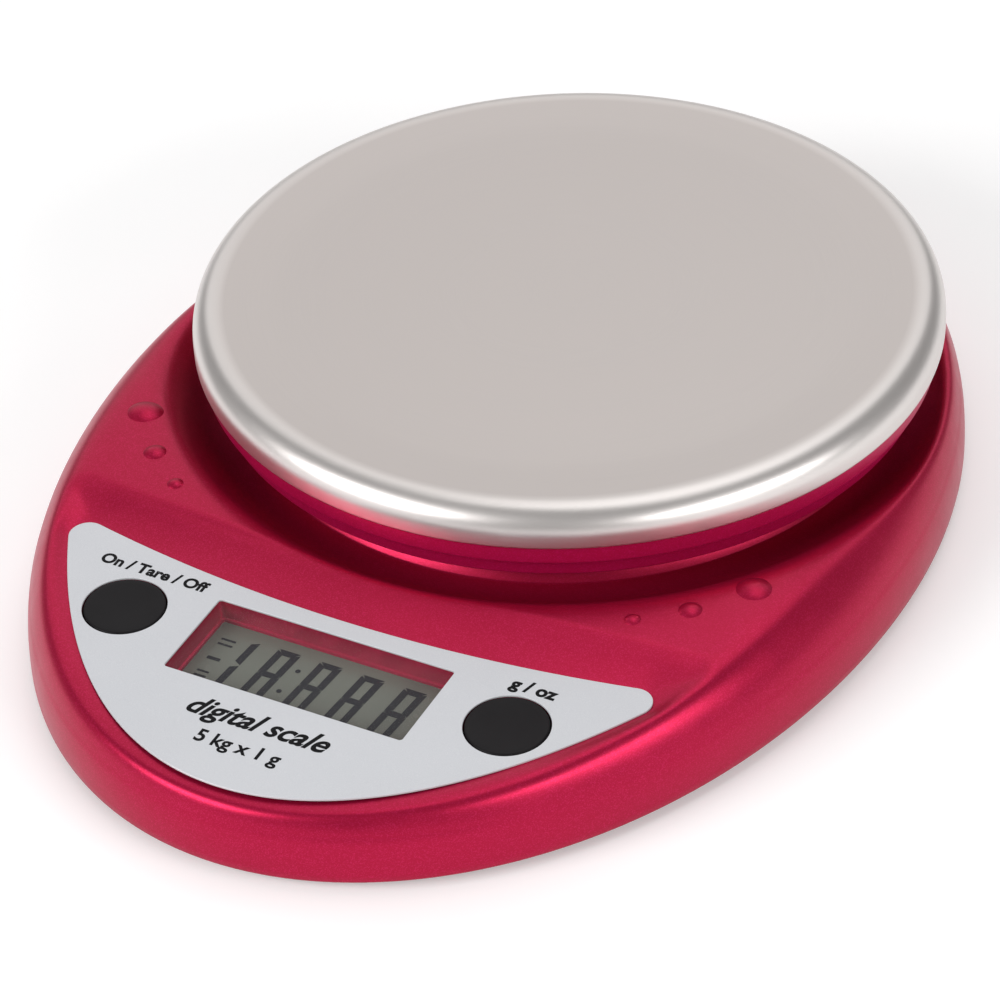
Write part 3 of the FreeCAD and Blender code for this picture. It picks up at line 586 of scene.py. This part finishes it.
def clear_film():
    """The window: nearly clear, with a faint whitish haze."""
    n = Nodes("clear_window")
    haze = n.noise(12, detail=2)
    n.colour(n.ranged(haze, 0, 1), (0.56, 0.55, 0.57), (0.62, 0.61, 0.63))
    n.link(n.ranged(haze, 0.05, 0.09), n.shader.inputs["Roughness"])
    n.set(Alpha=0.025)
    return n.material


def ink(name, colour, roughness=0.4):
    n = Nodes(name)
    speck = n.noise(0.3, detail=3)
    n.colour(n.ranged(speck, 0, 1), tint(colour, 0.85), tint(colour, 1.15))
    n.link(n.ranged(n.noise(1.5), roughness - 0.04, roughness + 0.04), n.shader.inputs["Roughness"])
    n.set(Specular_IOR_Level=0.08)
    return n.material


def plated(name, colour, roughness, size=0.5):
    """Plated or machined metal with fine directional marks."""
    n = Nodes(name)
    marks = n.noise(size, detail=4, rough=0.65, stretch=(1, 0.12, 1))
    n.colour(n.ranged(marks, 0, 1), tint(colour, 0.88), tint(colour, 1.08))
    n.link(n.ranged(marks, roughness - 0.06, roughness + 0.08), n.shader.inputs["Roughness"])
    n.link(n.bump(marks, 0.006, 0.6), n.shader.inputs["Normal"])
    n.set(Metallic=1.0)
    return n.material


def circuit_green():
    """Solder mask with pale tracks."""
    n = Nodes("circuit_board")
    tracks = n.add("ShaderNodeTexBrick")
    tracks.inputs["Scale"].default_value = 1.0
    mapping = n.add("ShaderNodeMapping")
    mapping.inputs["Scale"].default_value = (170, 170, 170)
    n.link(n.place, mapping.inputs["Vector"])
    n.link(mapping.outputs["Vector"], tracks.inputs["Vector"])
    tracks.inputs["Mortar Size"].default_value = 0.03
    n.colour(tracks.outputs["Fac"], (0.01, 0.09, 0.035), (0.03, 0.19, 0.07))
    n.link(n.ranged(n.noise(3), 0.25, 0.36), n.shader.inputs["Roughness"])
    n.link(n.bump(tracks.outputs["Fac"], 0.02, 0.6), n.shader.inputs["Normal"])
    return n.material


def battery_print():
    """Printed sleeve: a dark body with a lighter band at one end."""
    n = Nodes("battery_sleeve")
    along = n.add("ShaderNodeSeparateXYZ")
    n.link(n.place, along.inputs[0])
    band = n.ranged(along.outputs[0], 0, 1, 0.0115, 0.0117)
    speck = n.noise(2, detail=3)
    dark = n.mixed(n.ranged(speck, 0, 1), (0.028, 0.032, 0.045), (0.036, 0.041, 0.056))
    n.colour(band, dark, (0.42, 0.25, 0.12))
    n.link(n.ranged(n.noise(5), 0.22, 0.32), n.shader.inputs["Roughness"])
    n.set(Metallic=0.35, Coat_Weight=0.3)
    return n.material


BODY_RED = red_satin("body_plastic", (0.40, 0.006, 0.042), 0.34, 0.62)
TRAY_RED = red_satin("tray_plastic", (0.42, 0.005, 0.060), 0.32, 0.35)
STEEL = brushed_cover()
FILM = printed_film()
INK = ink("legend_ink", (0.004, 0.004, 0.005))
SEGMENT_INK = ink("segment_ink", (0.012, 0.013, 0.017), 0.5)
BUTTON_BLACK = moulded("button_black", (0.0085, 0.0075, 0.0085), 0.45, grain=0.25, depth=0.004, tone=0.1,
                        specular=0.12)
SLOT_MATERIALS = {
    "body_plastic": BODY_RED,
    "tray_plastic": TRAY_RED,
    "stainless": plated("spider_steel", (0.56, 0.55, 0.53), 0.34),
    "base_plastic": moulded("base_plastic", (0.026, 0.026, 0.028), 0.55, grain=0.7, depth=0.03, tone=0.08),
    "overlay_film": FILM,
    "clear_window": clear_film(),
    "display_glass": display_back(),
    "button_black": BUTTON_BLACK,
    "soft_rubber": moulded("soft_rubber", (0.018, 0.018, 0.020), 0.72, grain=0.5, depth=0.02, tone=0.1,
                           specular=0.3),
    "seal_rubber": moulded("seal_rubber", (0.62, 0.62, 0.60), 0.6, grain=0.8, depth=0.02),
    "cast_aluminium": plated("cast_aluminium", (0.60, 0.61, 0.63), 0.36),
    "screw_steel": plated("screw_steel", (0.56, 0.56, 0.58), 0.28, size=0.3),
    "contact_spring_steel": plated("contact_steel", (0.60, 0.60, 0.58), 0.24, size=0.4),
    "circuit_board": circuit_green(),
    "chip_black": moulded("chip_black", (0.012, 0.012, 0.014), 0.5, grain=0.2, depth=0.008),
    "crystal_can": plated("crystal_can", (0.62, 0.63, 0.64), 0.22, size=0.3),
    "white_plastic": moulded("white_plastic", (0.70, 0.70, 0.67), 0.42, grain=0.4, depth=0.006),
    "lead_insulation": moulded("lead_insulation", (0.30, 0.012, 0.012), 0.4, grain=0.4, depth=0.004),
    "battery_sleeve": battery_print(),
}


def paint(piece, material):
    piece.data.materials.clear()
    piece.data.materials.append(material)


def finish_piece(piece, body, slot_name, material, *nodes):
    """Gives a new piece its material and its body, and hides the CAD nodes that it stands for."""
    paint(piece, material)
    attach(piece, body)
    if nodes:
        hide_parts(*nodes)
    return piece


# ---- body --------------------------------------------------------------------------------
AROUND = 620
WALL_RINGS = 34
TOP_RINGS = 96
WALL_INSET = 10.8


def outline_ring(inset, z, turns):
    length = np.where(np.sin(turns) > 0, REAR_LENGTH, FRONT_LENGTH)
    x = (HALF_WIDTH - inset) * np.cos(turns)
    y = WAIST_Y + (length - inset) * np.sin(turns)
    return np.stack([x, y, np.full(turns.shape, z)], 1)


def wall_rings(turns):
    """The domed side, from the lower lip up."""
    rings = [outline_ring(inset, z, turns) for inset, z in
             ((2.2, 4.5), (2.2, BODY_BOTTOM), (0.5, BODY_BOTTOM), (0.15, BODY_BOTTOM + 0.1))]
    power = 2 / DOME_POWER
    steepest = math.acos((1 - WALL_INSET / DOME_RUN) ** (1 / power))
    for angle in np.linspace(0, steepest, WALL_RINGS):
        inset = DOME_RUN * (1 - math.cos(angle) ** power)
        ring = outline_ring(inset, BODY_BOTTOM + 0.4 + (DOME_RISE - 0.4) * math.sin(angle) ** power, turns)
        if inset > 1.0:
            ring[:, 2] = np.minimum(ring[:, 2], shell_height(ring[:, 0], ring[:, 1]))
        rings.append(ring)
    return rings


def top_rings(edge):
    """Rings from the wall in to the pedestal, closer together where the surface bends."""
    spoke = edge[:, :2] - (0, PLATFORM_Y)
    start = np.linalg.norm(spoke, axis=1)
    spoke = spoke / start[:, None]
    share = np.linspace(0, 1, 181)
    radius = start[None] + (PEDESTAL_R - start[None]) * share[:, None]
    x = spoke[:, 0] * radius
    y = PLATFORM_Y + spoke[:, 1] * radius
    weight = (0.35 + 2.0 * np.exp(-signed_distance(x, y, OVERLAY_OUTLINE) ** 2)
              + 1.3 * np.exp(-(signed_distance(x, y, CREST_OUTLINE) / 1.6) ** 2)
              + 0.6 * np.exp(-((radius - WELL_EDGE_R) / 4.0) ** 2))
    weight = sum(np.roll(weight, shift, 1) for shift in range(-16, 17)) / 33
    passed = np.cumsum(weight, 0)
    passed = (passed - passed[0]) / (passed[-1] - passed[0])
    wanted = np.linspace(0, 1, TOP_RINGS + 1)[1:]
    places = np.stack([np.interp(wanted, passed[:, i], radius[:, i]) for i in range(len(start))], 1)
    x = spoke[:, 0] * places
    y = PLATFORM_Y + spoke[:, 1] * places
    z = shell_height(x, y)
    return [np.stack([x[k], y[k], z[k]], 1) for k in range(TOP_RINGS)], spoke


def in_opening(x, y):
    """True where the window or a button hole goes through, with a margin that the film hides."""
    window = (abs(x) < WINDOW_HALF[0] + 1.0) & (abs(y - WINDOW_Y) < WINDOW_HALF[1] + 1.0)
    buttons = np.hypot(abs(x) - BUTTON_X, y - BUTTON_Y) < HOLE_R + 1.0
    return window | buttons


def skin_mesh():
    turns = np.linspace(0, 2 * math.pi, AROUND, endpoint=False)
    mesh = Mesh()
    walls = wall_rings(turns)
    tops, spoke = top_rings(walls[-1])
    inward = []
    for radius, z in ((PEDESTAL_R, PEDESTAL_TOP - 2), (61.4, PEDESTAL_TOP - 0.6), (60, PEDESTAL_TOP),
                      (54, PEDESTAL_TOP)):
        inward.append(np.column_stack([spoke * radius + (0, PLATFORM_Y), np.full(AROUND, z)]))
    mesh.skin(walls + tops + inward)
    vertices = np.array(mesh.vertices)
    centres = vertices[np.array(mesh.faces)].mean(1)
    open_face = in_opening(centres[:, 0], centres[:, 1]) & (centres[:, 2] > 10)
    mesh.faces = [f for f, gone in zip(mesh.faces, open_face) if not gone]
    return mesh.build("housing_skin")


def opening_walls():
    """The window's tapered walls and the button guides, each with a hidden flange under the film."""
    mesh = Mesh()

    def level(loop, z):
        return np.column_stack([loop, np.full(len(loop), z)])

    flange = RECESS_FLOOR + 0.03
    mouth = rounded_rect(*WINDOW_HALF, WINDOW_Y, 0.6)
    foot = rounded_rect(WINDOW_HALF[0] - WINDOW_DRAFT, WINDOW_HALF[1] - WINDOW_DRAFT, WINDOW_Y, 0.5)
    ledge = grown(foot, 0.35)
    mesh.skin([level(grown(mouth, 2.6), flange), level(mouth, flange), level(ledge, 0.75 - WINDOW_DEPTH),
               level(foot, 0.55 - WINDOW_DEPTH), level(grown(foot, -0.05), 0.01 - WINDOW_DEPTH)])
    for side in (-1, 1):
        hole = circle_outline(side * BUTTON_X, BUTTON_Y, HOLE_R)
        mesh.skin([level(grown(hole, 2.6), flange), level(hole, flange), level(hole, -2.35)])
    piece = mesh.build("opening_walls", smooth=False)
    piece.data.transform(PANEL)
    return piece


def bump_caps():
    """Low round bumps, three on each shoulder in front of the platform."""
    mesh = Mesh()
    for side in (-1, 1):
        for x, y, radius, height in BUMPS:
            sphere = (radius ** 2 + height ** 2) / (2 * height)
            spread = math.asin(radius / sphere)
            base = float(shell_height(np.array([side * x]), np.array([y]))[0])
            middle = base + height - sphere
            slope = [float(shell_height(np.array([side * x + dx]), np.array([y + dy]))[0]) - base
                     for dx, dy in ((radius, 0), (0, radius))]
            rings = []
            for angle in np.linspace(spread * 1.12, spread * 0.12, 9):
                height_here = middle + sphere * math.cos(angle)
                ring = circle_ring(sphere * math.sin(angle), height_here, 48, side * x, y)
                ring[:, 2] += ((ring[:, 0] - side * x) * slope[0] + (ring[:, 1] - y) * slope[1]) / radius
                rings.append(ring)
            starts = mesh.skin(rings)
            mesh.cap(starts[-1], 48, (side * x, y, base + height))
    return mesh.build("bumps")


def housing():
    shell = join("oval_housing", [skin_mesh(), opening_walls(), bump_caps()])
    finish_piece(shell, "housing", "body_plastic", BODY_RED, "top_housing")


# ---- front panel -------------------------------------------------------------------------
def panel_film():
    holes = [circle_outline(side * BUTTON_X, BUTTON_Y, HOLE_R, 128) for side in (-1, 1)]
    window = rounded_rect(*WINDOW_HALF, WINDOW_Y, 0.6)
    film = flat_piece("front_film", [OVERLAY_OUTLINE, window, *holes], FILM_THICK, bevel=0.06)
    finish_piece(film, "housing", "overlay_film", FILM, "panel_overlay")


def button_cap(name, x, body, cad_node):
    """Flush cap with a softly rounded edge and a faint dish, on its hidden flange and stem."""
    mesh = Mesh()
    profile = [(BUTTON_R + 1.2, -3.3), (BUTTON_R + 1.2, -2.5), (BUTTON_R, -2.5), (BUTTON_R, -0.4)]
    for angle in np.linspace(0, math.pi / 2, 7)[1:]:
        profile.append((BUTTON_R - 0.4 + 0.4 * math.cos(angle), -0.4 + 0.4 * math.sin(angle)))
    profile += [(r, -0.16 * (1 - (r / (BUTTON_R - 0.4)) ** 2)) for r in (6, 5, 4, 3, 2, 1)]
    starts = mesh.skin([circle_ring(r, z, 128, x, BUTTON_Y) for r, z in profile])
    mesh.cap(starts[-1], 128, (x, BUTTON_Y, -0.16))
    below = ((BUTTON_R + 1.2, -3.3), (1.75, -3.3), (1.75, -3.68))
    stem = mesh.skin([circle_ring(r, z, 128, x, BUTTON_Y) for r, z in below])
    mesh.cap(stem[-1], 128, (x, BUTTON_Y, -3.68))
    cap = mesh.build(name)
    cap.data.set_sharp_from_angle(angle=math.radians(35))
    cap.data.transform(PANEL)
    finish_piece(cap, body, "button_black", BUTTON_BLACK, cad_node)


def lettering(text, centre, height, thick, slant=0.0):
    """Flat letters on the film, centred on a point of the panel; height is that of a capital."""
    curve = bpy.data.curves.new("text", "FONT")
    curve.body = text
    curve.align_x = "CENTER"
    curve.align_y = "CENTER"
    curve.size = height / 0.72 * MM
    curve.shear = slant
    curve.offset = thick * MM
    curve.extrude = 0.012 * MM
    curve.resolution_u = 6
    holder = bpy.data.objects.new("text", curve)
    bpy.context.scene.collection.objects.link(holder)
    bpy.context.view_layer.update()
    mesh = bpy.data.meshes.new_from_object(holder.evaluated_get(bpy.context.evaluated_depsgraph_get()))
    bpy.data.objects.remove(holder)
    mesh.transform(PANEL @ Matrix.Translation((centre[0] * MM, centre[1] * MM, 0.012 * MM)))
    piece = bpy.data.objects.new("letters", mesh)
    bpy.context.scene.collection.objects.link(piece)
    return piece


def legends():
    """Generic button legends, type line and capacity line."""
    lines = [lettering("On / Tare / Off", (-BUTTON_X, -60.3), 2.5, 0.13),
             lettering("g / oz", (BUTTON_X, -60.3), 2.7, 0.15),
             lettering("digital scale", (-1.0, -87.4), 4.3, 0.14, slant=0.35),
             lettering("5 kg x 1 g", (-1.0, -93.8), 3.0, 0.10)]
    for name, piece in zip(("tare_legend", "unit_legend", "type_line", "capacity_line"), lines):
        piece.name = name
        finish_piece(piece, "housing", "overlay_film", INK)


SEGMENT_W = 1.4
DIGIT_W = 4.5
DIGIT_H = 13.6
DIGIT_TOP = -64.8
DIGIT_PITCH = 8.35
DIGIT_SLANT = 0.08


def segment_loops(left, top, lit):
    """Outlines of the lit segments of one slanted seven-segment digit."""
    half = SEGMENT_W / 2
    gap = 0.12
    mid_y = top - DIGIT_H / 2
    bottom = top - DIGIT_H
    right = left + DIGIT_W

    def bar(y, upper, lower):
        x0, x1 = left + gap, right - gap
        return [(x0 + upper, y + half), (x0 + lower, y - half),
                (x1 - lower, y - half), (x1 - upper, y + half)]

    def post(x, y0, y1, side):
        taper = SEGMENT_W * 0.6
        return [(x - side * half, y0 - gap), (x - side * half, y1 + gap), (x + side * half, y1 + taper),
                (x + side * half, y0 - taper)][::side]

    def middle(y):
        x0, x1 = left + gap, right - gap
        return [(x0, y), (x0 + half, y - half), (x1 - half, y - half), (x1, y),
                (x1 - half, y + half), (x0 + half, y + half)]

    shapes = {"a": bar(top - half, 0, SEGMENT_W), "g": middle(mid_y), "d": bar(bottom + half, SEGMENT_W, 0),
              "f": post(left + half, top - 0.2, mid_y, 1), "b": post(right - half, top - 0.2, mid_y, -1),
              "e": post(left + half, mid_y, bottom + 0.2, 1),
              "c": post(right - half, mid_y, bottom + 0.2, -1)}
    return [np.array([(x + DIGIT_SLANT * (y - mid_y), y) for x, y in shapes[key]]) for key in lit]


def display_segments():
    """A one, four eights and a colon, as at switch-on, with five small bars at the left."""
    first = -10.55
    loops = segment_loops(first - DIGIT_PITCH + 0.2, DIGIT_TOP, "bc")
    for place in range(4):
        loops += segment_loops(first + place * DIGIT_PITCH, DIGIT_TOP, "abcdefg")
    mid_y = DIGIT_TOP - DIGIT_H / 2
    for y in (mid_y + 2.9, mid_y - 2.9):
        loops.append(circle_outline(first + DIGIT_W + 1.75 + DIGIT_SLANT * (y - mid_y), y, 0.5, 20))
    bars = ((-66.6, 3.0, 0.5), (-67.9, 3.0, 0.5), (-71.8, 2.6, 0.8), (-75.4, 2.4, 0.5), (-76.6, 2.4, 0.5))
    for y, width, height in bars:
        loops.append(rounded_rect(width / 2, height / 2, y, 0.15, 3) + (-19.3, 0))
    pieces = [flat_piece("segment", [loop], 0.02, top=0.022 - WINDOW_DEPTH) for loop in loops]
    piece = join("display_segments", pieces)
    finish_piece(piece, "housing", "display_glass", SEGMENT_INK)


# ---- platform ----------------------------------------------------------------------------
def arc(centre_r, centre_z, radius, start, end, steps):
    """Profile points on an arc; angles in degrees from the outward direction."""
    turns = np.radians(np.linspace(start, end, steps))
    return [(centre_r + radius * math.cos(a), centre_z + radius * math.sin(a)) for a in turns]


def cover():
    """Pressed sheet with a rolled edge, a soft crease and a shallow dish, with its underside."""
    corner = COVER_R - COVER_EDGE_R
    shoulder = COVER_TOP - COVER_EDGE_R
    inner = COVER_R - COVER_SHEET

    def upper(sheet):
        top = COVER_TOP - sheet
        slope = [(corner - 0.35, top - 0.01)]
        for radius in (64.2, 62, 60, 58):
            slope.append((radius, top - COVER_DISH * (corner - radius) / (corner - COVER_FLAT_R)))
        slope += [(56, top - COVER_DISH + 0.08), (COVER_FLAT_R, top - COVER_DISH + 0.035),
                  (53.5, top - COVER_DISH)]
        slope += [(radius, top - COVER_DISH) for radius in (45, 36, 27, 18, 9, 3)]
        return arc(corner, shoulder, COVER_EDGE_R - sheet, 0, 90, 18) + slope

    under = upper(COVER_SHEET)[::-1]
    lip = [(inner, COVER_BOTTOM + 0.08), (inner + 0.08, COVER_BOTTOM), (COVER_R - 0.12, COVER_BOTTOM),
           (COVER_R - 0.02, COVER_BOTTOM + 0.1), (COVER_R, COVER_BOTTOM + 0.3)]
    profile = [(0, COVER_TOP - COVER_DISH - COVER_SHEET)] + under + lip + upper(0)
    profile.append((0, COVER_TOP - COVER_DISH))
    piece = lathe("steel_cover", profile)
    finish_piece(piece, "cover", "stainless", STEEL, "platform_cover")


def tray():
    """Stepped skirt under the cover, with rounded edges."""
    edge_r = 3.8
    inner_r = TRAY_LOWER_R - 1.7
    ceiling = TRAY_TOP - TRAY_SKIN
    profile = [(0, ceiling), (inner_r - 0.6, ceiling), (inner_r + 1.6, TRAY_TOP - edge_r),
               (inner_r + 1.6, TRAY_STEP + 1.6), (inner_r, TRAY_STEP),
               (inner_r, TRAY_BOTTOM + 0.2), (inner_r + 0.2, TRAY_BOTTOM)]
    profile += arc(TRAY_LOWER_R - 0.5, TRAY_BOTTOM + 0.5, 0.5, -90, 0, 6)
    profile += [(TRAY_LOWER_R, TRAY_STEP - 0.35), (TRAY_LOWER_R + 0.1, TRAY_STEP - 0.1),
                (TRAY_LOWER_R + 0.35, TRAY_STEP)]
    profile += arc(TRAY_UPPER_R - 0.5, TRAY_STEP + 0.5, 0.5, -90, 0, 6)
    profile += arc(TRAY_UPPER_R - edge_r, TRAY_TOP - edge_r, edge_r, 0, 90, 10)
    profile += [(50, TRAY_TOP), (25, TRAY_TOP), (0, TRAY_TOP)]
    piece = lathe("stepped_tray", profile)
    finish_piece(piece, "platform", "tray_plastic", TRAY_RED, "platform_tray")


# ---- carried-over CAD nodes --------------------------------------------------------------
def paint_frame():
    slots = {}
    for part in frame["record"]["subparts"]:
        slots[part["node"]] = part["material_slot"]
    for name, node in frame["nodes"].items():
        paint(node, SLOT_MATERIALS[slots[name]])


# ---- stage -------------------------------------------------------------------------------
def floor():
    half = 3000.0
    corners = [(-half, -half, -0.02), (half, -half, -0.02), (half, half, -0.02), (-half, half, -0.02)]
    plane = new_object("floor", corners, [(0, 1, 2, 3)], smooth=False)
    n = Nodes("floor")
    drift = n.ranged(n.noise(60, detail=2), 0, 1)
    n.colour(drift, (0.86, 0.86, 0.86), (0.88, 0.88, 0.88))
    n.set(Roughness=0.8, Specular_IOR_Level=0.1, Emission_Strength=0.22)
    n.shader.inputs["Emission Color"].default_value = (1, 1, 1, 1)
    paint(plane, n.material)


def softbox(name, place, target, size, power):
    """Rectangular area light; place and target in metres."""
    light = bpy.data.lights.new(name, "AREA")
    light.shape = "RECTANGLE"
    light.size, light.size_y = size
    light.energy = power
    lamp = bpy.data.objects.new(name, light)
    lamp.location = place
    lamp.rotation_euler = (Vector(target) - Vector(place)).to_track_quat("-Z", "Y").to_euler()
    bpy.context.scene.collection.objects.link(lamp)


def world(strength):
    sky = bpy.data.worlds.new("studio")
    sky.use_nodes = True
    background = sky.node_tree.nodes["Background"]
    background.inputs["Color"].default_value = (1, 1, 1, 1)
    background.inputs["Strength"].default_value = strength
    bpy.context.scene.world = sky


AZIMUTH = math.radians(29.749)
ELEVATION = math.radians(37.603)
ROLL = math.radians(-3.101)
DISTANCE = 0.78463
TARGET = Vector((-0.001442, 0.000546, 0.002))
FOCAL = 152.01


def camera():
    right = Vector((math.cos(AZIMUTH), math.sin(AZIMUTH), 0))
    level = math.cos(ELEVATION)
    back = Vector((math.sin(AZIMUTH) * level, -math.cos(AZIMUTH) * level, math.sin(ELEVATION)))
    up = back.cross(right)
    across = right * math.cos(ROLL) + up * math.sin(ROLL)
    above = up * math.cos(ROLL) - right * math.sin(ROLL)
    lens = bpy.data.cameras.new("camera")
    lens.lens = FOCAL
    lens.sensor_width = 36
    lens.clip_start = 0.01
    eye = bpy.data.objects.new("camera", lens)
    spot = TARGET + back * DISTANCE
    eye.matrix_world = Matrix(((across.x, above.x, back.x, spot.x), (across.y, above.y, back.y, spot.y),
                               (across.z, above.z, back.z, spot.z), (0, 0, 0, 1)))
    bpy.context.scene.collection.objects.link(eye)
    bpy.context.scene.camera = eye


def studio():
    floor()
    world(0.30)
    softbox("overhead", (0.0, 0.35, 1.15), (0, 0, 0.02), (0.8, 0.8), 2.6)
    softbox("key", (-0.6, -0.95, 0.62), (0, 0, 0.02), (0.75, 0.5), 10.0)
    softbox("side", (1.1, -0.3, 0.5), (0, 0, 0.02), (0.9, 0.3), 7.0)
    softbox("backdrop", (-0.51, 0.92, 0.79), (0, 0.02, 0.03), (1.7, 1.1), 4.4)
    camera()
    bpy.context.scene.view_settings.view_transform = "Standard"


paint_frame()
housing()
panel_film()
button_cap("tare_cap", -BUTTON_X, "tare_button", "tare_button")
button_cap("unit_cap", BUTTON_X, "unit_button", "unit_button")
legends()
display_segments()
cover()
tray()
studio()
